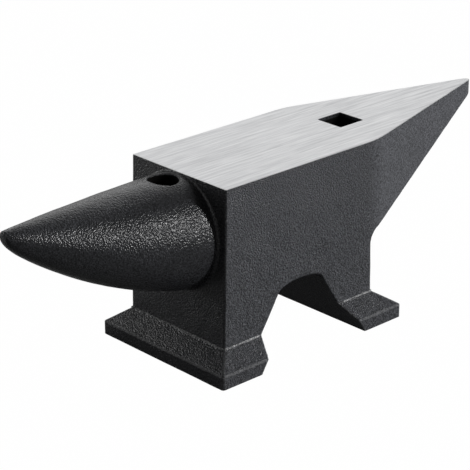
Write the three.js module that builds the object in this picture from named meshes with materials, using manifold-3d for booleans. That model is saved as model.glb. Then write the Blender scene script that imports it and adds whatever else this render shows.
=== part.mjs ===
import * as THREE from 'three';
import { mergeVertices } from 'three/addons/utils/BufferGeometryUtils.js';
import Module from 'manifold-3d';

// A double horn anvil, built up from a body, a hardened face plate, two horns and two feet.
// Lengths are in millimetres. X runs from the round horn to the square horn, Y across and Z up.
// Inside the group x = 0 is the front edge of the working face, and z = 0 is the ground.

// Working face and body
const faceWidth = 100;
const faceHeight = 143;
const faceLength = 153.5;
const plateThickness = 8;
const bodyLength = 148.8;
const junctionHeight = 21.9;
const frontDraft = 2.7;
const rearDraft = 0.7;
const sideDraft = 0.7;

// Legs, measured on the ground from the face's front edge and from the body's rear,
// and the arch between them: sloping flanks that end in an elliptical crown
const frontLegLength = 20.8;
const rearLegLength = 21.4;
const archSpring = 48;
const archFlankRun = 30.4;
const archCrownRise = 6.9;

// Round horn
const hornLength = 155.3;
const hornRootRadius = 42.9;
const hornRootDrop = 1.2;
const hornTipDrop = 2.4;
const hornTopCrown = 2.9;
const hornBluntShare = 0.24;
const hornConePower = 1.6;
const hornBluntPower = 0.18;
const hornRootSquareness = 0.08;
const hornSquareShare = 0.6;
const hornTipFlatShare = 0.0005;
const hornRingPower = 2.4;
const hornLeanShare = 0.3;
const pritchelRadius = 11.4;
const pritchelWall = 0.3;

// Square horn: its sides blend out of the face's, and the tip's corners are knocked off to a nose
const heelLength = 159.8;
const heelTipWidth = 6.6;
const heelTipThickness = 11.4;
const heelNoseLength = 2.8;
const heelNoseWidth = 2.4;
const heelRootHeight = 68.4;
const planBlend = 10;
const hardySide = 24.4;
const hardyCentre = 165;

// Feet: an upright edge, then a slope up to the legs
const footEdgeHeight = 10.25;
const footWidth = 132.4;
const frontFootReach = 15.5;
const rearFootReach = 17.5;

// Tenons that locate the pieces before they are welded
const hornTenonWidth = 40;
const hornTenonHeight = 40;
const hornTenonLength = 30;
const hornTenonRoot = 10;
const heelTenonWidth = 40;
const heelTenonHeight = 32;
const heelTenonLift = 12;
const heelTenonLength = 30;
const heelTenonRoot = 4;
const legTenonWidth = 60;
const legTenonThickness = 16;
const legTenonDepth = 12;
const legTenonInset = 6.6;

// Weld beads: round the horn's root, and where each foot meets its leg
const hornWeldReach = 4;
const hornWeldRise = 2.4;
const footWeldRise = 1.5;
const footWeldReach = 1.3;
const footWeldDrop = 0.9;
const footWeldCrest = 0.3;

// Working values
const seatGap = 0.3;
const overrun = 20;
const hornSides = 48;
const hornRings = 26;
const hornWeldRings = 5;
const crownSteps = 20;
const holeSides = 48;

const half = (length) => length / 2;
const plateBottom = faceHeight - plateThickness;
const heelTipX = faceLength + heelLength;
const heelShoulderX = heelTipX - heelNoseLength;
const heelTaper = half(faceWidth - heelTipWidth) / (heelShoulderX - faceLength);
const frontJunctionX = -frontDraft;
const rearJunctionX = bodyLength + rearDraft;
const draftHeight = faceHeight - junctionHeight;
const junctionHalfWidth = half(faceWidth) + sideDraft;
const archFront = frontLegLength;
const archRear = bodyLength - rearLegLength;
const archCentre = half(archFront + archRear);
const archHalfGap = half(archRear - archFront);
const archTopHalfGap = archHalfGap - archFlankRun;
const pritchelX = -(frontDraft + pritchelWall + pritchelRadius);

const paint = { color: 0x2b2c2f, roughness: 0.55, metalness: 0.3 };
const groundSteel = { color: 0xc9c9cb, roughness: 0.32, metalness: 0.9 };

const wasm = await Module();
wasm.setup();

// A three.js geometry as a solid that can be cut and joined
function toSolid(geometry) {
  geometry.deleteAttribute('normal');
  geometry.deleteAttribute('uv');
  const merged = mergeVertices(geometry);
  const vertProperties = new Float32Array(merged.attributes.position.array);
  const triVerts = new Uint32Array(merged.index.array);
  return new wasm.Manifold(new wasm.Mesh({ numProp: 3, vertProperties, triVerts }));
}

// A solid as a named mesh
function toMesh(name, solid, look) {
  const { vertProperties, triVerts } = solid.getMesh();
  const geometry = new THREE.BufferGeometry();
  geometry.setAttribute('position', new THREE.BufferAttribute(new Float32Array(vertProperties), 3));
  geometry.setIndex(new THREE.BufferAttribute(new Uint32Array(triVerts), 1));
  geometry.computeVertexNormals();
  const mesh = new THREE.Mesh(geometry, new THREE.MeshStandardMaterial(look));
  mesh.name = name;
  return mesh;
}

// A closed solid through convex rings with the same number of corners each
function loft(rings) {
  const sides = rings[0].length;
  const positions = rings.flat().flatMap((corner) => corner.toArray());
  const indices = [];
  for (let level = 0; level < rings.length - 1; level += 1) {
    for (let side = 0; side < sides; side += 1) {
      const here = level * sides + side;
      const next = level * sides + ((side + 1) % sides);
      indices.push(here, next, next + sides, here, next + sides, here + sides);
    }
  }
  const last = (rings.length - 1) * sides;
  for (let side = 1; side < sides - 1; side += 1) {
    indices.push(0, side + 1, side);
    indices.push(last, last + side, last + side + 1);
  }
  const geometry = new THREE.BufferGeometry();
  geometry.setAttribute('position', new THREE.Float32BufferAttribute(positions, 3));
  geometry.setIndex(indices);
  return toSolid(geometry);
}

// A rectangle seen from above, as one level of a loft
function rectangle(lowX, highX, halfWidth, z) {
  return [
    new THREE.Vector3(lowX, -halfWidth, z),
    new THREE.Vector3(highX, -halfWidth, z),
    new THREE.Vector3(highX, halfWidth, z),
    new THREE.Vector3(lowX, halfWidth, z),
  ];
}

// An upright block with square corners
function block(lowX, highX, width, lowZ, highZ) {
  const geometry = new THREE.BoxGeometry(highX - lowX, width, highZ - lowZ);
  geometry.translate(half(lowX + highX), 0, half(lowZ + highZ));
  return toSolid(geometry);
}

// A side outline, drawn in x and z, carried across the anvil
function sidePrism(shape, width) {
  const geometry = new THREE.ExtrudeGeometry(shape, { depth: width, bevelEnabled: false });
  geometry.rotateX(Math.PI / 2);
  geometry.translate(0, half(width), 0);
  return toSolid(geometry);
}

// The front face leans out towards the foot, and so do the sides
function frontFaceX(z) {
  return (-frontDraft * (faceHeight - z)) / draftHeight;
}

function halfWidthAt(z) {
  return half(faceWidth) + (sideDraft * (faceHeight - z)) / draftHeight;
}

// The gap between the legs, running down past the ground
function archVoid() {
  const flankSlope = archFlankRun / archSpring;
  const belowGround = archHalfGap + flankSlope * overrun;
  const shape = new THREE.Shape();
  shape.moveTo(archCentre - belowGround, -overrun);
  shape.lineTo(archCentre + belowGround, -overrun);
  shape.lineTo(archCentre + archTopHalfGap, archSpring);
  const crown = [];
  for (let step = 1; step <= crownSteps; step += 1) {
    const angle = (Math.PI * step) / crownSteps;
    const x = archCentre + archTopHalfGap * Math.cos(angle);
    crown.push(new THREE.Vector2(x, archSpring + archCrownRise * Math.sin(angle)));
  }
  crown.forEach((point) => shape.lineTo(point.x, point.y));
  shape.closePath();
  return sidePrism(shape, footWidth + 2 * overrun);
}

// Tenons, each grown by a clearance where it cuts its socket
function hornTenon(clearance) {
  const centreZ = faceHeight - hornRootDrop - hornRootRadius;
  return block(
    -hornTenonRoot,
    hornTenonLength + clearance,
    hornTenonWidth + 2 * clearance,
    centreZ - half(hornTenonHeight) - clearance,
    centreZ + half(hornTenonHeight) + clearance,
  );
}

function heelTenon(clearance) {
  return block(
    bodyLength - heelTenonLength - clearance,
    bodyLength + heelTenonRoot,
    heelTenonWidth + 2 * clearance,
    heelRootHeight + heelTenonLift - clearance,
    heelRootHeight + heelTenonLift + heelTenonHeight + clearance,
  );
}

function legTenons(clearance) {
  const tenons = [archFront - legTenonInset, archRear + legTenonInset].map((centreX) => block(
    centreX - half(legTenonThickness) - clearance,
    centreX + half(legTenonThickness) + clearance,
    legTenonWidth + 2 * clearance,
    junctionHeight - legTenonDepth - clearance,
    junctionHeight + legTenonDepth,
  ));
  return tenons[0].add(tenons[1]);
}

// The outline of the working face at one level, with the tapering square horn behind it
function planRing(frontX, z) {
  const halfWidth = halfWidthAt(z);
  const draft = halfWidth - half(faceWidth);
  const blendInset = half(half(heelTaper * planBlend));
  const side = [
    [frontX, halfWidth],
    [faceLength - planBlend, halfWidth],
    [faceLength, halfWidth - blendInset],
    [faceLength + planBlend, halfWidth - heelTaper * planBlend],
    [heelShoulderX, half(heelTipWidth) + draft],
    [heelTipX, half(heelNoseWidth) + draft],
  ];
  const near = side.map(([x, y]) => new THREE.Vector3(x, -y, z));
  const far = side.map(([x, y]) => new THREE.Vector3(x, y, z)).reverse();
  return [...near, ...far];
}

// Body: upright sides with a slight draft, above the feet and under the face plate
function makeBody() {
  const profile = new THREE.Shape();
  profile.moveTo(frontJunctionX, junctionHeight);
  profile.lineTo(rearJunctionX, junctionHeight);
  profile.lineTo(bodyLength, heelRootHeight);
  profile.lineTo(bodyLength, plateBottom);
  profile.lineTo(frontFaceX(plateBottom), plateBottom);
  profile.closePath();
  const plan = loft([planRing(-overrun, junctionHeight), planRing(-overrun, plateBottom)]);
  return sidePrism(profile, faceWidth + 2 * overrun)
    .intersect(plan)
    .subtract(archVoid())
    .add(legTenons(0))
    .subtract(hornTenon(seatGap))
    .subtract(heelTenon(seatGap));
}

function hardyHole() {
  const low = hardyCentre - half(hardySide);
  return block(low, low + hardySide, hardySide, heelRootHeight - overrun, faceHeight + overrun);
}

function makeFacePlate() {
  const plate = loft([planRing(frontFaceX(plateBottom), plateBottom), planRing(0, faceHeight)]);
  return plate.subtract(hardyHole());
}

// Square horn: it tapers in plan, and its underside rises to the tip
function makeSquareHorn() {
  const profile = new THREE.Shape();
  profile.moveTo(bodyLength, heelRootHeight);
  profile.lineTo(heelTipX, faceHeight - heelTipThickness);
  profile.lineTo(heelTipX, plateBottom);
  profile.lineTo(bodyLength, plateBottom);
  profile.closePath();
  const plan = loft([planRing(0, heelRootHeight), planRing(0, plateBottom)]);
  return sidePrism(profile, faceWidth + 2 * overrun)
    .intersect(plan)
    .add(heelTenon(0))
    .subtract(hardyHole());
}

// Round horn: the radius falls off as a swelling cone with a blunt end, and the top stays near level
function hornRadius(share) {
  const cone = 1 - share ** hornConePower;
  const blunt = (1 - share) ** hornBluntPower;
  return hornRootRadius * ((1 - hornBluntShare) * cone + hornBluntShare * blunt);
}

function hornTop(share) {
  const drop = hornRootDrop + (hornTipDrop - hornRootDrop) * share;
  return faceHeight - drop + hornTopCrown * share * (1 - share);
}

function signedPower(value, power) {
  return Math.sign(value) * Math.abs(value) ** power;
}

// A point on the horn's skin, counted from the front face, with the root ring lying on that face
function hornPoint(distance, angle, grow) {
  const share = distance / hornLength;
  const squareness = hornRootSquareness * Math.max(0, 1 - share / hornSquareShare);
  const power = 2 / (2 + squareness);
  const radius = hornRadius(share) + grow;
  const y = radius * signedPower(Math.sin(angle), power);
  const z = hornTop(share) - hornRadius(share) + radius * signedPower(Math.cos(angle), power);
  const lean = Math.max(0, 1 - share / hornLeanShare);
  return new THREE.Vector3(frontFaceX(z) * lean - distance, y, z);
}

function hornRing(distance, grow) {
  const ring = [];
  for (let side = 0; side < hornSides; side += 1) {
    ring.push(hornPoint(distance, (2 * Math.PI * side) / hornSides, grow));
  }
  return ring;
}

// The rings stand closer together towards the tip, which ends in a small flat
function hornSolid(start, grow) {
  const rings = [];
  const reach = hornLength * (1 - hornTipFlatShare) - start;
  for (let ring = 0; ring <= hornRings; ring += 1) {
    const share = 1 - (1 - ring / hornRings) ** hornRingPower;
    rings.push(hornRing(start + reach * share, grow));
  }
  return loft(rings);
}

function pritchelHole() {
  const bottom = junctionHeight;
  const height = faceHeight + overrun - bottom;
  const geometry = new THREE.CylinderGeometry(pritchelRadius, pritchelRadius, height, holeSides);
  geometry.rotateX(Math.PI / 2);
  geometry.translate(pritchelX, 0, bottom + half(height));
  return toSolid(geometry);
}

function makeRoundHorn() {
  return hornSolid(seatGap, 0).add(hornTenon(0)).subtract(pritchelHole());
}

// A hollow fillet round the horn's root, level with the face on top
function makeRoundHornWeld() {
  const rings = [];
  for (let ring = 0; ring <= hornWeldRings; ring += 1) {
    const share = ring / hornWeldRings;
    const distance = seatGap + (hornWeldReach - seatGap) * share;
    rings.push(hornRing(distance, hornWeldRise * (1 - distance / hornWeldReach) ** 2));
  }
  const aboveFace = block(-overrun, overrun, faceWidth + 2 * overrun, faceHeight, faceHeight + overrun);
  return loft(rings)
    .subtract(hornSolid(0, seatGap))
    .subtract(pritchelHole())
    .subtract(aboveFace);
}

// A foot, from the ground up, grown all over where it cuts its weld bead
function footSolid(grow) {
  const outerHalfWidth = half(footWidth) + grow;
  const levels = (outerX, junctionX) => [
    [outerX, outerHalfWidth, -grow],
    [outerX, outerHalfWidth, footEdgeHeight + grow],
    [junctionX, junctionHalfWidth + grow, junctionHeight + grow],
  ];
  const front = levels(frontJunctionX - frontFootReach - grow, frontJunctionX - grow);
  const rear = levels(rearJunctionX + rearFootReach + grow, rearJunctionX + grow);
  return [
    loft(front.map(([x, halfWidth, z]) => rectangle(x, archCentre, halfWidth, z))),
    loft(rear.map(([x, halfWidth, z]) => rectangle(archCentre, x, halfWidth, z))),
  ];
}

function makeFeet() {
  return footSolid(0).map((foot) => foot.subtract(archVoid()).subtract(legTenons(seatGap)));
}

// A bead round three sides of each leg, in the corner between the leg and the foot's slope
function makeFootWelds() {
  const level = (reach, z) => rectangle(
    frontJunctionX - reach,
    rearJunctionX + reach,
    junctionHalfWidth + reach,
    z,
  );
  const bead = loft([
    level(footWeldReach, junctionHeight - footWeldDrop),
    level(footWeldReach, junctionHeight + footWeldCrest),
    level(seatGap, junctionHeight + footWeldRise),
  ]);
  const legs = loft([
    rectangle(frontJunctionX - seatGap, rearJunctionX + seatGap, junctionHalfWidth + seatGap, -overrun),
    rectangle(frontJunctionX - seatGap, rearJunctionX + seatGap, junctionHalfWidth + seatGap, faceHeight),
  ]);
  const feet = footSolid(seatGap);
  const beads = bead.subtract(legs).subtract(feet[0]).subtract(feet[1]).subtract(archVoid());
  const ahead = block(-overrun - archCentre, archCentre, footWidth + 2 * overrun, 0, faceHeight);
  return [beads.intersect(ahead), beads.subtract(ahead)];
}

const [frontFoot, rearFoot] = makeFeet();
const [frontFootWeld, rearFootWeld] = makeFootWelds();

const anvil = new THREE.Group();
anvil.add(
  toMesh('face_plate', makeFacePlate(), groundSteel),
  toMesh('body', makeBody(), paint),
  toMesh('round_horn', makeRoundHorn(), paint),
  toMesh('round_horn_weld', makeRoundHornWeld(), paint),
  toMesh('square_horn', makeSquareHorn(), paint),
  toMesh('front_foot', frontFoot, paint),
  toMesh('rear_foot', rearFoot, paint),
  toMesh('front_foot_weld', frontFootWeld, paint),
  toMesh('rear_foot_weld', rearFootWeld, paint),
);

// The origin is on the ground, midway between the two horn tips
const hornTipX = -hornLength * (1 - hornTipFlatShare);
anvil.position.x = -half(hornTipX + heelTipX);

export default anvil;
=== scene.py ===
import math

import bpy
import numpy as np
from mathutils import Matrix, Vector


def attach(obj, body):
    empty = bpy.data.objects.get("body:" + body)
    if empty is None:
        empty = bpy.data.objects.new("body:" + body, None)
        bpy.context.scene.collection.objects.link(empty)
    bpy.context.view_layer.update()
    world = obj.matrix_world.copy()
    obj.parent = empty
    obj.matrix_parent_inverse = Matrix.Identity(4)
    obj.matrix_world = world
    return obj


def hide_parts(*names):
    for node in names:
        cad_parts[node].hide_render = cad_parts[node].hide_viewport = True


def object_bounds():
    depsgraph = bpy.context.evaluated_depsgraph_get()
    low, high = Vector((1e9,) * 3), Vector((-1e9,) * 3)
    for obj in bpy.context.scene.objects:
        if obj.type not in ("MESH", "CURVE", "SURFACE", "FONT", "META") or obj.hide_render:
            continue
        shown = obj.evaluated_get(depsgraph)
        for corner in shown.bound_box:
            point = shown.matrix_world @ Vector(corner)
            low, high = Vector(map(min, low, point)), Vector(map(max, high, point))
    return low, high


# A double horn anvil: one rough casting in black hammered paint, with a ground working face.
# Shapes are in millimetres, with x = 0 at the front edge of the face and z = 0 on the ground.
# The skin of the casting is a signed distance field, which is meshed piece by piece.

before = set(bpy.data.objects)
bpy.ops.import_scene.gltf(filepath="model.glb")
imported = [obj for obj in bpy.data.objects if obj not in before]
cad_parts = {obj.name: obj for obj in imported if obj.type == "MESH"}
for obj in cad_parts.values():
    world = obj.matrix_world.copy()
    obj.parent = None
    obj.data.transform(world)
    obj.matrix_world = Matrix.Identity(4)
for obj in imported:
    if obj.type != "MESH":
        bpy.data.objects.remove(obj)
cad_low, cad_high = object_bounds()

MILLIMETRE = 0.001

# Body and face
FACE_HALF_WIDTH = 50.0
FACE_HEIGHT = 143.0
FACE_LENGTH = 153.5
PLATE_BOTTOM = 135.0
BODY_LENGTH = 148.8
JUNCTION_HEIGHT = 21.9
FRONT_DRAFT = 2.7
REAR_DRAFT = 0.7
SIDE_DRAFT = 0.7
CORNER_RADIUS = 0.9

# Square horn
HEEL_TIP_X = 313.3
HEEL_SHOULDER_X = 310.5
HEEL_TIP_HALF_WIDTH = 3.3
HEEL_NOSE_HALF_WIDTH = 1.2
HEEL_ROOT_HEIGHT = 68.4
HEEL_TIP_THICKNESS = 11.4
HEEL_ROOT_FILLET = 7.0
PLAN_BLEND_RADIUS = 2.6
NOSE_RADIUS = 0.9
HARDY_HALF_SIDE = 12.2
HARDY_CENTRE = 165.0
HOLE_RIM_RADIUS = 0.5

# Round horn
HORN_LENGTH = 155.3
HORN_ROOT_RADIUS = 42.9
HORN_ROOT_DROP = 1.2
HORN_TIP_DROP = 2.4
HORN_TOP_CROWN = 2.9
HORN_BLUNT_SHARE = 0.24
HORN_CONE_POWER = 1.6
HORN_BLUNT_POWER = 0.18
HORN_ROOT_SQUARENESS = 0.08
HORN_SQUARE_SHARE = 0.6
HORN_LEAN_SHARE = 0.3
HORN_TIP_FLAT_SHARE = 0.0005
HORN_TIP_RADIUS = 1.6
HORN_TENON_LENGTH = 30.0
HORN_FILLET = 2.0
HORN_TOP_FILLET = 1.0
HORN_FILLET_FADE_FROM = 122.0
HORN_WELD_REACH = 4.0
HORN_WELD_DEPTH = 2.5
PRITCHEL_RADIUS = 11.4
PRITCHEL_X = -14.4
PRITCHEL_RIM_RADIUS = 0.6

# Feet and arch
FOOT_EDGE_HEIGHT = 10.25
FOOT_HALF_WIDTH = 66.2
FRONT_FOOT_X = -18.2
REAR_FOOT_X = 167.0
FOOT_CORNER_RADIUS = 2.2
FOOT_ARRIS_RADIUS = 0.7
ARCH_CENTRE = 74.1
ARCH_HALF_GAP = 53.3
ARCH_FLANK_RUN = 30.4
ARCH_SPRING = 48.0
ARCH_CROWN_RISE = 6.9
ARCH_RIM_RADIUS = 0.9

# Weld beads along the top of each foot
BEAD_RADIUS = 0.75
BEAD_SPREAD = 0.3
BEAD_STEP = 1.1
BEAD_SIDES = 8
BEAD_TAPER = 4
BEAD_END = 0.3
BEAD_INSET = 1.3

# Casting skin: how far it is sunk below the true surface, and its lumps by cell, height and seed
SKIN_SINK = 0.05
LUMPS = ((5.0, 0.07, 11), (14.0, 0.12, 12))
LUMP_DRAW = 2.2
SETTLE_STEPS = 2
SETTLE_REACH = 0.1
SETTLE_MOST = 0.4
SETTLE_LEAST_SLOPE = 0.25

# Worn places, whose pale grey is partly real wear and partly a painted highlight: how far off the bend of the
# surface is felt, how high the feet wear, and how worn a bead is
WEAR_AND_HIGHLIGHT_REACH = 0.6
WEAR_AND_HIGHLIGHT_HEIGHT = 24.0
BEAD_WEAR_AND_HIGHLIGHT = 6.0
WEAR_AND_HIGHLIGHT_BEND = 0.6
# Where the holes' walls take the painted shade: how far below the face, and how far out from the wall
BORE_SHADE_DEPTH = 3.0
BORE_SHADE_REACH = 0.3

# The edge of the ground face: how far it drops, and how much its normals lean outward
FACE_EDGE_DROP = 0.2
FACE_EDGE_LEAN = 0.45

# The grid, whose lines lie half a cell off whole numbers, and where it is split round the horn
GRID_LOWS = (-158.5, -68.5, -2.5)
GRID_HIGHS = (315.5, 68.5, 145.5)
HORN_SPLIT_GAP = 0.3
HORN_SKIN_REACH = 0.2

# Where the front edge of the face lies, in metres: the tip of the square horn ends the frame
FACE_FRONT_X = cad_high[0] - HEEL_TIP_X * MILLIMETRE

# Camera, in metres and radians
CAMERA_PLACE = Vector((-0.94031, -0.9784, 0.6337))
CAMERA_YAW = 0.75272
CAMERA_PITCH = -0.39235
CAMERA_LENS = 150.56
CAMERA_SENSOR = 36.0
CAMERA_FAR = 20.0

# Black paint: scales are per metre, and a noise is its scale, detail and roughness
PAINT_DARK = (0.021, 0.0215, 0.0235, 1.0)
PAINT_PALE = (0.066, 0.068, 0.0745, 1.0)
# The pale grey of rubbed arrises, partly real wear and partly a painted highlight
PAINT_WORN_AND_HIGHLIGHT = (0.6, 0.6, 0.6, 1.0)
PAINT_SPECULAR = 0.42
TONE_NOISE = (720.0, 2.0, 0.6)
TONE_RANGE = (0.35, 0.65)
# Specks of worn pale grey, partly a painted highlight on arrises and beads, and how much rougher rubbed places
# are
WORN_HIGHLIGHT_NOISE = (600.0, 2.0, 0.6)
WORN_HIGHLIGHT_SHARE = 0.1
WORN_ROUGHNESS = 0.35
PATCH_NOISE = (28.0, 3.0, 0.5)
PATCH_RANGE = (0.38, 0.62)
PATCH_ROUGHNESS = (0.24, 0.2)
PATCH_STRENGTH = (0.44, 0.54)
GRAIN_NOISE = (1500.0, 2.0, 0.6)
GRAIN_SHARE = 0.1
DOME_SCALE = 950.0
DOME_SMOOTHNESS = 0.4
HORN_DOME_SCALE = 740.0
HORN_DOME_SHARE = 0.85
PAINT_BUMP = 0.0009
HORN_PAINT_X = (FACE_FRONT_X - 0.007, FACE_FRONT_X - 0.003)
HORN_PAINT_Z = (0.03, 0.034)
HEEL_PAINT_X = (FACE_FRONT_X + 0.15, FACE_FRONT_X + 0.158)
HEEL_PAINT_SHARE = 0.6

# Walls of the holes, painted near black as the shade deep inside them
BORE_SHADE_DARK = (0.004, 0.004, 0.004, 1.0)
BORE_SHADE_PALE = (0.012, 0.0115, 0.011, 1.0)
BORE_NOISE = (240.0, 3.0, 0.6)
BORE_RANGE = (0.3, 0.7)
BORE_ROUGHNESS = (0.7, 0.9)
BORE_SPECULAR = 0.05
BORE_BUMP = 0.0003

# Ground steel, whose noises are stretched along its length
STEEL_DARK = (0.605, 0.61, 0.622, 1.0)
STEEL_PALE = (0.83, 0.834, 0.842, 1.0)
STEEL_STRETCH = (0.03, 1.0, 1.0)
SCRATCH_NOISE = (1500.0, 2.0, 0.6)
STREAK_NOISE = (420.0, 3.0, 0.6)
STREAK_SHARE = 0.5
STEEL_RANGE = (0.36, 0.62)
STEEL_ROUGHNESS = (0.42, 0.34)
STEEL_BUMP = 0.00005

# Lamps: direction, distance, width, height, power, and whether the anvil mirrors it
LAMPS = {
    "key": ((0.965, -0.258, 0.035), 9.0, 0.7, 2.0, 3050.0, False),
    "sparkle": ((0.4, -0.83, 0.36), 1.6, 0.14, 0.8, 11.5, True),
    "fill": ((-0.42, 0.88, 0.18), 1.6, 0.9, 0.7, 6.0, True),
}
LAMP_AIM = Vector((0, 0, 0.07))

# Floor: its half width, where it lies, its own tone, and how it is mirrored from the front to the back
FLOOR_REACH = 4.0
FLOOR_LEVEL = -0.0002
FLOOR_TONE = (0.2, 0.2, 0.2, 1.0)
FLOOR_BACK_Y = (0.05, 0.13)
FLOOR_MIRRORED = (0.02, 0.2)
FLOOR_GLOW_SHARE = 0.995

# Studio: its pale walls, each by direction, where it fades in and is full, and how bright it is mirrored
STUDIO_PATCHES = (
    ((0.65, 0.7, 0.28), 0.8, 0.97, 1.0),
    ((-0.97, -0.1, 0.2), 0.6, 0.8, 0.65),
    ((0.68, -0.68, 0.26), 0.88, 0.97, 0.65),
    ((0.12, 0.4, 0.91), 0.93, 0.98, 0.5),
)
SURROUND_MIRRORED = 0.12
SURROUND_LIGHT = 0.02


def meet(first, second, radius):
    """What lies in both fields, with the edge between them rounded."""
    edge = np.hypot(np.maximum(first + radius, 0), np.maximum(second + radius, 0))
    return np.minimum(np.maximum(first, second), -radius) + edge


def join(first, second, radius):
    """What lies in either field, with the corner between them filled."""
    corner = np.hypot(np.maximum(radius - first, 0), np.maximum(radius - second, 0))
    return np.maximum(np.minimum(first, second), radius) - corner


def plane(across, along, place, through, lean):
    """Signed distance from a line in the (across, along) plane, leaning by its normal."""
    size = math.hypot(*lean)
    return ((across - place) * lean[0] + (along - through) * lean[1]) / size


def spline_weights(line, cell, count):
    """Cubic spline weights from a coarse lattice to the places in line."""
    place = (line - line[0]) / cell + 1
    base = np.floor(place).astype(int)
    part = place - base
    weights = np.zeros((len(line), count))
    rows = np.arange(len(line))
    weights[rows, base - 1] = (1 - part) ** 3 / 6
    weights[rows, base] = (3 * part ** 3 - 6 * part ** 2 + 4) / 6
    weights[rows, base + 1] = (-3 * part ** 3 + 3 * part ** 2 + 3 * part + 1) / 6
    weights[rows, base + 2] = part ** 3 / 6
    return weights


def lumps(lines, cell, seed):
    """Smooth noise between about -1 and 1 over the grid."""
    counts = [int((line[-1] - line[0]) / cell) + 4 for line in lines]
    field = np.random.default_rng(seed).uniform(-LUMP_DRAW, LUMP_DRAW, counts)
    for axis, line in enumerate(lines):
        weights = spline_weights(line, cell, counts[axis])
        field = np.moveaxis(np.tensordot(weights, field, axes=(1, axis)), 0, axis)
    return field


def drafted(z, draft):
    """How far a drafted face stands out at height z."""
    return draft * (FACE_HEIGHT - z) / (FACE_HEIGHT - JUNCTION_HEIGHT)


def block_field(x, y, z):
    """Body, face and square horn, running on above the face."""
    draft = drafted(z, SIDE_DRAFT)
    side = y - FACE_HALF_WIDTH - draft
    length = HEEL_SHOULDER_X - FACE_LENGTH
    narrowing = FACE_HALF_WIDTH - HEEL_TIP_HALF_WIDTH
    taper = plane(x, y - draft, FACE_LENGTH, FACE_HALF_WIDTH, (narrowing, length))
    knocked = plane(
        x, y - draft, HEEL_SHOULDER_X, HEEL_TIP_HALF_WIDTH,
        (HEEL_TIP_HALF_WIDTH - HEEL_NOSE_HALF_WIDTH, HEEL_TIP_X - HEEL_SHOULDER_X),
    )
    plan = meet(meet(side, taper, PLAN_BLEND_RADIUS), knocked, NOSE_RADIUS)
    plan = meet(plan, x - HEEL_TIP_X, NOSE_RADIUS)
    front = -x - drafted(z, FRONT_DRAFT)
    rear_slope = REAR_DRAFT / (HEEL_ROOT_HEIGHT - JUNCTION_HEIGHT)
    rear = x - BODY_LENGTH - rear_slope * (HEEL_ROOT_HEIGHT - z)
    rise = FACE_HEIGHT - HEEL_TIP_THICKNESS - HEEL_ROOT_HEIGHT
    under = plane(x, z, BODY_LENGTH, HEEL_ROOT_HEIGHT, (rise, BODY_LENGTH - HEEL_TIP_X))
    tail = join(rear, under, HEEL_ROOT_FILLET)
    return meet(meet(plan, front, CORNER_RADIUS), tail, CORNER_RADIUS)


def feet_field(x, y, z):
    """Both feet in one, running on below the ground, before the arch parts them."""
    height = JUNCTION_HEIGHT - FOOT_EDGE_HEIGHT
    front_run = -FRONT_DRAFT - FRONT_FOOT_X
    rear_run = REAR_FOOT_X - BODY_LENGTH - REAR_DRAFT
    side_run = FOOT_HALF_WIDTH - FACE_HALF_WIDTH - SIDE_DRAFT
    uprights = meet(y - FOOT_HALF_WIDTH, np.maximum(FRONT_FOOT_X - x, x - REAR_FOOT_X), FOOT_CORNER_RADIUS)
    front = plane(x, z, FRONT_FOOT_X, FOOT_EDGE_HEIGHT, (-height, front_run))
    rear = plane(x, z, REAR_FOOT_X, FOOT_EDGE_HEIGHT, (height, rear_run))
    side = plane(y, z, FOOT_HALF_WIDTH, FOOT_EDGE_HEIGHT, (height, side_run))
    slopes = meet(np.maximum(front, rear), side, FOOT_ARRIS_RADIUS)
    return meet(uprights, slopes, FOOT_ARRIS_RADIUS)


def arch_field(x, z):
    """The gap between the legs: sloping flanks and an elliptical crown."""
    off = np.abs(x - ARCH_CENTRE)
    flank = plane(off, z, ARCH_HALF_GAP, 0, (ARCH_SPRING, ARCH_FLANK_RUN))
    wide = ARCH_HALF_GAP - ARCH_FLANK_RUN
    across = off / wide
    up = (z - ARCH_SPRING) / ARCH_CROWN_RISE
    size = np.hypot(across, up)
    least = 0.01
    slope = np.hypot(across / wide, up / ARCH_CROWN_RISE) / np.maximum(size, least)
    crown = (size - 1) / np.maximum(slope, least)
    return np.minimum(np.maximum(flank, z - ARCH_SPRING), crown)


def horn_radius(share):
    """The round horn's radius at a share of its length: a cone that swells, and a blunt tip."""
    cone = 1 - share ** HORN_CONE_POWER
    blunt = (1 - share) ** HORN_BLUNT_POWER
    return HORN_ROOT_RADIUS * ((1 - HORN_BLUNT_SHARE) * cone + HORN_BLUNT_SHARE * blunt)


def horn_field(x, y, z):
    """Round horn: a swelling cone with a blunt tip and a near level top."""
    share = np.clip(-x / HORN_LENGTH, 0, 1)
    lean = np.maximum(1 - share / HORN_LEAN_SHARE, 0)
    distance = -x - drafted(z, FRONT_DRAFT) * lean
    share = np.clip(distance / HORN_LENGTH, 0, 1 - HORN_TIP_FLAT_SHARE)
    radius = horn_radius(share)
    step = 0.0002
    slope = (horn_radius(share + step) - radius) / (step * HORN_LENGTH)
    drop = HORN_ROOT_DROP + (HORN_TIP_DROP - HORN_ROOT_DROP) * share
    top = FACE_HEIGHT - drop + HORN_TOP_CROWN * share * (1 - share)
    power = 2 + HORN_ROOT_SQUARENESS * np.maximum(1 - share / HORN_SQUARE_SHARE, 0)
    reach = (y ** power + np.abs(z - top + radius) ** power) ** (1 / power)
    skin = (reach - radius) / np.hypot(1, slope)
    tip = distance - HORN_LENGTH * (1 - HORN_TIP_FLAT_SHARE)
    return np.maximum(meet(skin, tip, HORN_TIP_RADIUS), x - HORN_TENON_LENGTH)


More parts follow.
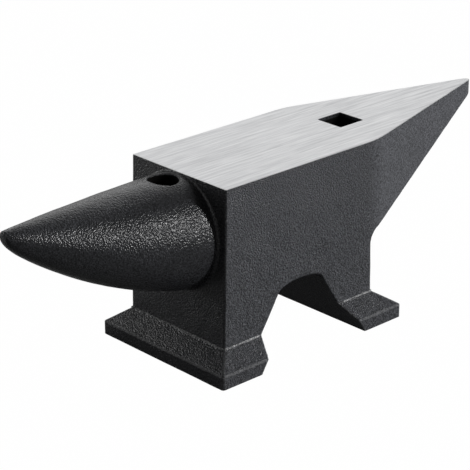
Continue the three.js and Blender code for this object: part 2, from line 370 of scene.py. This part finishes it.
def casting_field(x, y, z):
    """The whole casting, running on above the face and below the ground."""
    away = np.abs(y)
    skin = join(block_field(x, away, z), feet_field(x, away, z), FOOT_ARRIS_RADIUS)
    skin = meet(skin, -arch_field(x, z), ARCH_RIM_RADIUS)
    horn = horn_field(x, away, z)
    fade = np.clip((z - HORN_FILLET_FADE_FROM) / (FACE_HEIGHT - HORN_FILLET_FADE_FROM), 0, 1)
    fillet = HORN_FILLET + (HORN_TOP_FILLET - HORN_FILLET) * fade * fade * (3 - 2 * fade)
    skin = join(skin, horn, fillet)
    above = ARCH_SPRING - z
    pritchel = np.maximum(np.hypot(x - PRITCHEL_X, y) - PRITCHEL_RADIUS, above)
    skin = meet(skin, -pritchel, PRITCHEL_RIM_RADIUS)
    hardy = meet(np.abs(x - HARDY_CENTRE) - HARDY_HALF_SIDE, away - HARDY_HALF_SIDE, HOLE_RIM_RADIUS)
    return meet(skin, -np.maximum(hardy, above), HOLE_RIM_RADIUS), horn


class Skin:
    """The casting on a grid of 1 mm cells, whose centres have whole numbers."""

    def __init__(self):
        self.lows = np.array(GRID_LOWS)
        self.lines = [np.arange(low, high + 0.5) for low, high in zip(GRID_LOWS, GRID_HIGHS)]
        x, y, z = np.meshgrid(*self.lines, indexing="ij", sparse=True)
        field, horn = casting_field(x, y, z)
        self.rough = np.float32(SKIN_SINK)
        for cell, height, seed in LUMPS:
            layer = lumps(self.lines, cell, seed).astype(np.float32)
            self.rough = self.rough + np.float32(height) * layer
        self.field = (field + self.rough).astype(np.float32)
        self.inside = self.field < 0
        self.regions = self.find_regions(x, y, z, horn)
        self.find_vertices()

    def find_regions(self, x, y, z, horn):
        """Which grid points belong to which piece."""
        shape = self.field.shape
        front_face = -drafted(z, FRONT_DRAFT)
        ahead = np.broadcast_to((x < front_face - HORN_SPLIT_GAP) & (z > ARCH_SPRING), shape)
        low = np.broadcast_to(z < JUNCTION_HEIGHT, shape)
        high = np.broadcast_to(z > PLATE_BOTTOM, shape) & ~ahead
        heel = np.broadcast_to((x > BODY_LENGTH) & (z > HEEL_ROOT_HEIGHT - HEEL_ROOT_FILLET), shape)
        behind = heel & ~high
        front = np.broadcast_to(x < ARCH_CENTRE, shape)
        solid = np.broadcast_to((z > 0) & (z < FACE_HEIGHT), shape)
        near = np.broadcast_to(x > front_face - HORN_WELD_REACH, shape)
        weld = (horn > HORN_SKIN_REACH) | near & (horn > -HORN_WELD_DEPTH)
        return {
            "face_plate": high & solid,
            "square_horn": behind,
            "round_horn": ahead & ~weld & solid,
            "round_horn_weld": ahead & weld & solid,
            "front_foot": low & front & solid,
            "rear_foot": low & ~front & solid,
            "body": ~ahead & ~low & ~high & ~behind,
        }

    def find_vertices(self):
        """One vertex in each cell that the surface crosses, and the surface's normal there."""
        corner = {}
        count = 0
        cells = tuple(size - 1 for size in self.field.shape)
        for i, j, k in np.ndindex(2, 2, 2):
            part = self.inside[i:i + cells[0], j:j + cells[1], k:k + cells[2]]
            count = count + part.astype(np.uint8)
        crossed = np.nonzero((count > 0) & (count < 8))
        for i, j, k in np.ndindex(2, 2, 2):
            corner[i, j, k] = self.field[crossed[0] + i, crossed[1] + j, crossed[2] + k].astype(float)
        total = np.zeros((len(crossed[0]), 3))
        hits = np.zeros(len(crossed[0]))
        normal = np.zeros((len(crossed[0]), 3))
        for axis in range(3):
            for first, second in np.ndindex(2, 2):
                start = np.insert([first, second], axis, 0)
                end = np.insert([first, second], axis, 1)
                here, there = corner[tuple(start)], corner[tuple(end)]
                normal[:, axis] += there - here
                hit = (here < 0) != (there < 0)
                share = np.where(hit, here / np.where(hit, here - there, 1), 0)
                place = np.tile(start.astype(float), (len(share), 1))
                place[:, axis] = share
                total += place * hit[:, None]
                hits += hit
        self.places = np.stack(crossed, 1) + total / hits[:, None] + self.lows
        self.normals = normal / np.linalg.norm(normal, axis=1, keepdims=True)
        self.settle()
        for level in (0, FACE_HEIGHT):
            row = np.isclose(crossed[2] + self.lows[2] + 0.5, level)
            self.places[row, 2] = level
        self.vertex_of = np.full(cells, -1, np.int32)
        self.vertex_of[crossed] = np.arange(len(crossed[0]))

    def roughness_at(self, places):
        """The casting's lumps at any places, read from the grid."""
        near = places - self.lows
        base = np.clip(np.floor(near).astype(int), 0, np.array(self.rough.shape) - 2)
        part = near - base
        total = 0
        for step in np.ndindex(2, 2, 2):
            weight = np.prod(np.where(step, part, 1 - part), axis=1)
            i, j, k = (base + step).T
            total = total + weight * self.rough[i, j, k]
        return total

    def settle(self):
        """Moves each vertex onto the true surface, which a grid alone cuts short at an edge."""
        def height(places):
            return casting_field(*places.T)[0] + self.roughness_at(places)

        for _ in range(SETTLE_STEPS):
            level = height(self.places)
            slope = np.stack([height(self.places + step) - level for step in SETTLE_REACH * np.eye(3)], 1)
            slope /= SETTLE_REACH
            size = np.maximum((slope ** 2).sum(1), SETTLE_LEAST_SLOPE)
            move = np.clip(level / size, -SETTLE_MOST, SETTLE_MOST)
            self.places = self.places - slope * move[:, None]
        self.wear_and_highlight = self.find_wear_and_highlight()

    def find_wear_and_highlight(self):
        """How worn each vertex is: the arrises of the feet and the rim of the pritchel hole rub bright, partly
        real wear and partly a painted highlight.
        """
        x, y, z = self.places.T
        level = casting_field(x, y, z)[0]
        bend = 0
        for step in WEAR_AND_HIGHLIGHT_REACH * np.eye(3):
            for sign in (-1, 1):
                beside = casting_field(*(self.places + sign * step).T)[0]
                bend = bend + (beside - level) / WEAR_AND_HIGHLIGHT_REACH ** 2
        rim = np.hypot(x - PRITCHEL_X, y) < PRITCHEL_RADIUS + 2 * PRITCHEL_RIM_RADIUS
        return np.clip(bend / WEAR_AND_HIGHLIGHT_BEND, 0, 1) * ((z < WEAR_AND_HIGHLIGHT_HEIGHT) | rim)

    def quads_round(self, name):
        """The quads round one region as cells, which are ground, and the normals of those inside the skin."""
        inside = self.inside & self.regions[name]
        quads, ground, caps = [], [], []
        for axis in range(3):
            here = np.moveaxis(inside, axis, 0)
            skin = np.moveaxis(self.inside, axis, 0)
            turn = [(axis + step) % 3 for step in range(3)]
            for leaving in (True, False):
                found = np.nonzero(here[:-1] & ~here[1:] if leaving else ~here[:-1] & here[1:])
                index = np.empty((len(found[0]), 3), int)
                order = [axis] + [other for other in range(3) if other != axis]
                for place, other in enumerate(order):
                    index[:, other] = found[place]
                steps = [(0, 0), (-1, 0), (-1, -1), (0, -1)]
                if not leaving:
                    steps.reverse()
                corners = []
                for second, third in steps:
                    cell = index.copy()
                    cell[:, turn[1]] += second
                    cell[:, turn[2]] += third
                    corners.append(np.ravel_multi_index(cell.T, self.vertex_of.shape))
                quads.append(np.stack(corners, 1))
                both = skin[:-1][found] & skin[1:][found]
                level = index[:, 2] + self.lows[2] + 0.5
                ground.append(both & (axis == 2) & leaving & np.isclose(level, FACE_HEIGHT))
                facing = np.zeros((len(both), 3))
                facing[:, axis] = 1 if leaving else -1
                caps.append(np.where(both[:, None], facing, 0))
        return np.concatenate(quads), np.concatenate(ground), np.concatenate(caps)

    def piece(self, name):
        """One region's mesh: vertices, faces, normals at face corners, material slots, one of which paints
        shade in the holes, and wear, which also paints a highlight.
        """
        quads, ground, caps = self.quads_round(name)
        cells, faces = np.unique(quads, return_inverse=True)
        faces = faces.reshape(quads.shape)
        vertex = self.vertex_of.ravel()[cells]
        centres = np.stack(np.unravel_index(cells, self.vertex_of.shape), 1) + self.lows + 0.5
        places = np.where(vertex[:, None] >= 0, self.places[vertex], centres)
        wear_and_highlight = np.where(vertex >= 0, self.wear_and_highlight[vertex], 0)
        normals = np.where(vertex[:, None] >= 0, self.normals[vertex], 0)
        capped = np.abs(caps).sum(1) > 0
        corner_normals = np.where(capped[:, None, None], caps[:, None, :], normals[faces])
        rim = ground[:, None] & (vertex[faces] >= 0)
        leaning = caps[:, None, :] + FACE_EDGE_LEAN * normals[faces]
        corner_normals = np.where(rim[:, :, None], leaning, corner_normals)
        places[np.unique(faces[rim]), 2] -= FACE_EDGE_DROP
        middle = places[faces].mean(1)
        hardy = np.abs(middle[:, :2] - (HARDY_CENTRE, 0)).max(1) < HARDY_HALF_SIDE + BORE_SHADE_REACH
        pritchel = np.hypot(middle[:, 0] - PRITCHEL_X, middle[:, 1]) < PRITCHEL_RADIUS + BORE_SHADE_REACH
        deep = (middle[:, 2] < FACE_HEIGHT - BORE_SHADE_DEPTH) & (middle[:, 2] > ARCH_SPRING)
        # Slot 1 is the ground face, and slot 2 paints the shade deep inside the two holes near black
        slots = np.where(ground, 1, np.where((hardy | pritchel) & deep, 2, 0))
        return places, faces, corner_normals.reshape(-1, 3), slots, wear_and_highlight


def add_piece(name, node, places, faces, materials, wear_and_highlight, normals=None, slots=None):
    """A mesh object that stands for one CAD node."""
    mesh = bpy.data.meshes.new(name)
    mesh.vertices.add(len(places))
    metres = np.asarray(places) * MILLIMETRE
    metres[:, 0] += FACE_FRONT_X
    mesh.vertices.foreach_set("co", np.clip(metres, cad_low, cad_high).ravel())
    sides = faces.shape[1]
    mesh.loops.add(faces.size)
    mesh.loops.foreach_set("vertex_index", faces.ravel().astype(np.int32))
    mesh.polygons.add(len(faces))
    mesh.polygons.foreach_set("loop_start", np.arange(0, faces.size, sides, dtype=np.int32))
    for material in materials:
        mesh.materials.append(material)
    if slots is not None:
        mesh.polygons.foreach_set("material_index", slots.astype(np.int32))
    # This attribute sets both the rubbed roughness and a painted highlight in pale grey
    mesh.attributes.new("wear_and_highlight", "FLOAT", "POINT").data.foreach_set("value", wear_and_highlight.astype(np.float32))
    mesh.update(calc_edges=True)
    mesh.shade_smooth()
    if normals is not None:
        unit = normals / np.linalg.norm(normals, axis=1, keepdims=True)
        mesh.normals_split_custom_set(unit)
    piece = bpy.data.objects.new(name, mesh)
    bpy.context.scene.collection.objects.link(piece)
    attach(piece, "root")
    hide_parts(node)
    return piece


def bead_path(sign):
    """The three sides of one leg where it meets its foot, from arch to arch."""
    end_x = -FRONT_DRAFT if sign < 0 else BODY_LENGTH + REAR_DRAFT
    half_gap = ARCH_HALF_GAP - ARCH_FLANK_RUN * JUNCTION_HEIGHT / ARCH_SPRING
    arch_x = ARCH_CENTRE + sign * (half_gap + BEAD_INSET)
    width = FACE_HALF_WIDTH + SIDE_DRAFT
    corners = [(arch_x, -width), (end_x, -width), (end_x, width), (arch_x, width)]
    path = []
    for (x0, y0), (x1, y1) in zip(corners, corners[1:]):
        steps = max(1, round(math.hypot(x1 - x0, y1 - y0) / BEAD_STEP))
        for step in range(steps):
            share = step / steps
            path.append((x0 + (x1 - x0) * share, y0 + (y1 - y0) * share, JUNCTION_HEIGHT))
    return np.array(path + [(*corners[-1], JUNCTION_HEIGHT)])


def bead_mesh(sign, seed):
    """A thin, uneven weld bead: a tube of changing thickness along the path, closed at both ends."""
    path = bead_path(sign)
    rng = np.random.default_rng(seed)
    grain = rng.uniform(-1, 1, len(path) + 2)
    radius = BEAD_RADIUS + BEAD_SPREAD * (grain[:-2] + grain[1:-1] + grain[2:]) / 3
    ends = np.arange(BEAD_TAPER) / BEAD_TAPER
    radius[:BEAD_TAPER] *= BEAD_END + (1 - BEAD_END) * ends
    radius[-BEAD_TAPER:] *= BEAD_END + (1 - BEAD_END) * ends[::-1]
    along = np.gradient(path, axis=0)
    along /= np.linalg.norm(along, axis=1, keepdims=True)
    across = np.cross(along, (0, 0, 1))
    angles = np.arange(BEAD_SIDES) * 2 * math.pi / BEAD_SIDES
    rings = path[:, None] + radius[:, None, None] * (
        across[:, None] * np.cos(angles)[None, :, None]
        + np.array((0, 0, 1)) * np.sin(angles)[None, :, None]
    )
    places = np.concatenate([rings.reshape(-1, 3), path[:1], path[-1:]])
    faces = []
    for ring in range(len(path) - 1):
        for side in range(BEAD_SIDES):
            here = ring * BEAD_SIDES + side
            beside = ring * BEAD_SIDES + (side + 1) % BEAD_SIDES
            faces.append((here, beside + BEAD_SIDES, beside))
            faces.append((here, here + BEAD_SIDES, beside + BEAD_SIDES))
    first, last = len(places) - 2, len(places) - 1
    start = (len(path) - 1) * BEAD_SIDES
    for side in range(BEAD_SIDES):
        beside = (side + 1) % BEAD_SIDES
        faces.append((first, side, beside))
        faces.append((last, start + beside, start + side))
    return places, np.array(faces)


class Nodes:
    """A small helper for a tree of shader nodes."""

    def __init__(self, tree):
        self.tree = tree

    def add(self, kind, inputs=None, **settings):
        node = self.tree.nodes.new(kind)
        for key, value in settings.items():
            setattr(node, key, value)
        for key, value in (inputs or {}).items():
            self.put(node, key, value)
        return node

    def put(self, node, key, value):
        """Sets one input, or links it where the value is the output of a node."""
        if isinstance(value, bpy.types.NodeSocket):
            self.tree.links.new(value, node.inputs[key])
        else:
            node.inputs[key].default_value = value

    def ramp(self, value, source, target=(0.0, 1.0)):
        """Takes the source's range to the target's, and stays level beyond its ends."""
        ends = {"From Min": source[0], "From Max": source[1], "To Min": target[0], "To Max": target[1]}
        return self.add("ShaderNodeMapRange", {"Value": value, **ends}).outputs["Result"]

    def math(self, operation, first, second):
        return self.add("ShaderNodeMath", {0: first, 1: second}, operation=operation).outputs["Value"]


class Shader(Nodes):
    """The nodes of one new material, whose textures follow the object's own coordinates."""

    def __init__(self, name):
        self.material = bpy.data.materials.new(name)
        self.material.use_nodes = True
        super().__init__(self.material.node_tree)
        self.surface = self.tree.nodes["Principled BSDF"]
        self.place = self.add("ShaderNodeTexCoord").outputs["Object"]

    def noise(self, kind, place=None):
        scale, detail, roughness = kind
        inputs = {"Vector": place or self.place, "Scale": scale, "Detail": detail, "Roughness": roughness}
        return self.add("ShaderNodeTexNoise", inputs).outputs["Fac"]

    def mix(self, share, low, high):
        """From the low colour to the high one."""
        return self.add("ShaderNodeMix", {0: share, 6: low, 7: high}, data_type="RGBA").outputs[2]

    def blend(self, share, low, high):
        """From the low number to the high one."""
        return self.add("ShaderNodeMix", {0: share, 2: low, 3: high}, data_type="FLOAT").outputs[0]

    def domes(self, scale):
        """Small rounded bumps side by side, as a depth below their tops."""
        inputs = {"Vector": self.place, "Scale": scale, "Smoothness": DOME_SMOOTHNESS}
        return self.add("ShaderNodeTexVoronoi", inputs, feature="SMOOTH_F1").outputs["Distance"]

    def bump(self, height, distance, strength=1.0):
        inputs = {"Height": height, "Distance": distance, "Strength": strength}
        return self.add("ShaderNodeBump", inputs).outputs["Normal"]

    def finish(self, **values):
        """Sets the surface's inputs by name, and gives back the material."""
        for key, value in values.items():
            self.put(self.surface, key.replace("_", " "), value)
        return self.material


def make_paint(name):
    """Black hammered paint on a rough casting: fine lumps, smoother patches, arrises rubbed bright, partly real
    wear and partly a painted highlight.
    """
    shader = Shader(name)
    patches = shader.ramp(shader.noise(PATCH_NOISE), PATCH_RANGE)
    parts = shader.add("ShaderNodeSeparateXYZ", {0: shader.place}).outputs
    ahead = shader.ramp(parts["X"], HORN_PAINT_X, (1.0, 0.0))
    on_horn = shader.math("MULTIPLY", ahead, shader.ramp(parts["Z"], HORN_PAINT_Z))
    grain = shader.math("MULTIPLY", shader.noise(GRAIN_NOISE), GRAIN_SHARE)
    wide = shader.math("MULTIPLY", shader.domes(HORN_DOME_SCALE), HORN_DOME_SHARE)
    height = shader.math("SUBTRACT", grain, shader.blend(on_horn, shader.domes(DOME_SCALE), wide))
    heel = shader.ramp(parts["X"], HEEL_PAINT_X, (1.0, HEEL_PAINT_SHARE))
    strength = shader.math("MULTIPLY", shader.ramp(patches, (0.0, 1.0), PATCH_STRENGTH), heel)
    tone = shader.ramp(shader.noise(TONE_NOISE), TONE_RANGE)
    paint = shader.mix(tone, PAINT_DARK, PAINT_PALE)
    # Worn places turn pale grey in specks, partly real wear and partly a painted highlight
    wear_and_highlight = shader.add("ShaderNodeAttribute", attribute_name="wear_and_highlight").outputs["Fac"]
    worn_highlight_specks = shader.ramp(shader.noise(WORN_HIGHLIGHT_NOISE), TONE_RANGE, (0.0, WORN_HIGHLIGHT_SHARE))
    color = shader.mix(shader.math("MULTIPLY", wear_and_highlight, worn_highlight_specks), paint, PAINT_WORN_AND_HIGHLIGHT)
    smooth = shader.ramp(patches, (0.0, 1.0), PATCH_ROUGHNESS)
    rubbed = shader.ramp(wear_and_highlight, (0.0, 1.0), (0.0, WORN_ROUGHNESS))
    return shader.finish(
        Base_Color=color,
        Roughness=shader.math("ADD", smooth, rubbed),
        Specular_IOR_Level=PAINT_SPECULAR,
        Normal=shader.bump(height, PAINT_BUMP, strength),
    )


def make_bore_shade(name):
    """The walls of the two holes, painted near black as the shade deep inside them."""
    shader = Shader(name)
    tone = shader.noise(BORE_NOISE)
    return shader.finish(
        Base_Color=shader.mix(tone, BORE_SHADE_DARK, BORE_SHADE_PALE),
        Roughness=shader.ramp(tone, BORE_RANGE, BORE_ROUGHNESS),
        Specular_IOR_Level=BORE_SPECULAR,
        Normal=shader.bump(tone, BORE_BUMP),
    )


def make_ground_steel(name):
    """Ground steel: fine scratches along the length, in faint streaks."""
    shader = Shader(name)
    stretch = shader.add("ShaderNodeMapping", {"Vector": shader.place, "Scale": STEEL_STRETCH})
    along = stretch.outputs["Vector"]
    fine = shader.math("MULTIPLY", shader.noise(SCRATCH_NOISE, along), 1.0 - STREAK_SHARE)
    streaks = shader.math("MULTIPLY", shader.noise(STREAK_NOISE, along), STREAK_SHARE)
    both = shader.math("ADD", fine, streaks)
    tone = shader.ramp(both, STEEL_RANGE)
    return shader.finish(
        Base_Color=shader.mix(tone, STEEL_DARK, STEEL_PALE),
        Metallic=1.0,
        Roughness=shader.ramp(tone, (0.0, 1.0), STEEL_ROUGHNESS),
        Normal=shader.bump(both, STEEL_BUMP),
    )


def make_camera():
    """The photo's own view, which was fitted to straight edges of the anvil."""
    data = bpy.data.cameras.new("camera")
    data.lens = CAMERA_LENS
    data.sensor_width = CAMERA_SENSOR
    data.clip_end = CAMERA_FAR
    camera = bpy.data.objects.new("camera", data)
    bpy.context.scene.collection.objects.link(camera)
    forward = Vector((
        math.cos(CAMERA_PITCH) * math.sin(CAMERA_YAW),
        math.cos(CAMERA_PITCH) * math.cos(CAMERA_YAW),
        math.sin(CAMERA_PITCH),
    ))
    camera.location = CAMERA_PLACE
    camera.rotation_mode = "QUATERNION"
    camera.rotation_quaternion = forward.to_track_quat("-Z", "Y")
    bpy.context.scene.camera = camera


def make_lamp(name, direction, distance, width, height, power, mirrored):
    """An area lamp that looks at the middle of the anvil; one that is not mirrored leaves no glints."""
    data = bpy.data.lights.new(name, "AREA")
    data.shape = "RECTANGLE"
    data.size = width
    data.size_y = height
    data.energy = power
    lamp = bpy.data.objects.new(name, data)
    bpy.context.scene.collection.objects.link(lamp)
    toward = Vector(direction).normalized()
    lamp.location = toward * distance + LAMP_AIM
    lamp.rotation_mode = "QUATERNION"
    lamp.rotation_quaternion = (-toward).to_track_quat("-Z", "Y")
    lamp.visible_glossy = mirrored


def seen_directly(nodes, mirrored):
    """1 for rays from the camera, and a share of that for those that metal and glass send on."""
    path = nodes.add("ShaderNodeLightPath").outputs
    sent = nodes.math("MAXIMUM", path["Is Glossy Ray"], path["Is Transmission Ray"])
    return nodes.math("MAXIMUM", nodes.math("MULTIPLY", sent, mirrored), path["Is Camera Ray"])


def make_world():
    """A studio that shines white from behind the anvil, and less from the other sides."""
    world = bpy.data.worlds.new("world")
    bpy.context.scene.world = world
    world.use_nodes = True
    nodes = Nodes(world.node_tree)
    direction = nodes.add("ShaderNodeTexCoord").outputs["Generated"]
    mirrored = SURROUND_MIRRORED
    for toward, fading, full, level in STUDIO_PATCHES:
        turn = nodes.add("ShaderNodeVectorMath", {0: direction, 1: toward}, operation="DOT_PRODUCT")
        patch = nodes.ramp(turn.outputs["Value"], (fading, full), (SURROUND_MIRRORED, level))
        mirrored = nodes.math("MAXIMUM", mirrored, patch)
    background = nodes.tree.nodes["Background"]
    nodes.put(background, "Color", (1.0, 1.0, 1.0, 1.0))
    strength = nodes.math("MAXIMUM", seen_directly(nodes, mirrored), SURROUND_LIGHT)
    nodes.put(background, "Strength", strength)


def make_floor():
    """A white floor that keeps a faint shadow."""
    mesh = bpy.data.meshes.new("floor")
    corners = [(x * FLOOR_REACH, y * FLOOR_REACH, FLOOR_LEVEL) for x, y in ((-1, -1), (1, -1), (1, 1), (-1, 1))]
    mesh.from_pydata(corners, [], [(0, 1, 2, 3)])
    floor = bpy.data.objects.new("floor", mesh)
    bpy.context.scene.collection.objects.link(floor)
    shader = Shader("white_floor")
    shader.finish(Base_Color=FLOOR_TONE, Roughness=1.0, Specular_IOR_Level=0.0)
    glow = shader.add("ShaderNodeEmission", {"Strength": 1.0})
    behind = shader.add("ShaderNodeSeparateXYZ", {0: shader.place}).outputs["Y"]
    mirrored = shader.ramp(behind, FLOOR_BACK_Y, FLOOR_MIRRORED)
    share = shader.math("MULTIPLY", seen_directly(shader, mirrored), FLOOR_GLOW_SHARE)
    inputs = {0: share, 1: shader.surface.outputs["BSDF"], 2: glow.outputs["Emission"]}
    both = shader.add("ShaderNodeMixShader", inputs)
    output = next(node for node in shader.tree.nodes if node.type == "OUTPUT_MATERIAL")
    shader.put(output, "Surface", both.outputs["Shader"])
    mesh.materials.append(shader.material)


def make_anvil():
    """Every piece of the casting, and the beads on its feet."""
    paint = make_paint("black_paint")
    steel = make_ground_steel("ground_steel")
    # The walls deep in the holes get a painted shade
    bore_shade = make_bore_shade("bore_painted_shade")
    skin = Skin()
    for node in skin.regions:
        places, faces, normals, slots, wear_and_highlight = skin.piece(node)
        add_piece(node + "_cast", node, places, faces, [paint, steel, bore_shade], wear_and_highlight, normals, slots)
    for node, sign, seed in (("front_foot_weld", -1, 21), ("rear_foot_weld", 1, 22)):
        places, faces = bead_mesh(sign, seed)
        # Each bead is worn all along, which paints pale grey specks on it as a highlight
        add_piece(node + "_bead", node, places, faces, [paint], np.full(len(places), BEAD_WEAR_AND_HIGHLIGHT))


make_camera()
make_anvil()
make_floor()
make_world()
for name, lamp in LAMPS.items():
    make_lamp(name, *lamp)
bpy.context.scene.view_settings.view_transform = "Standard"
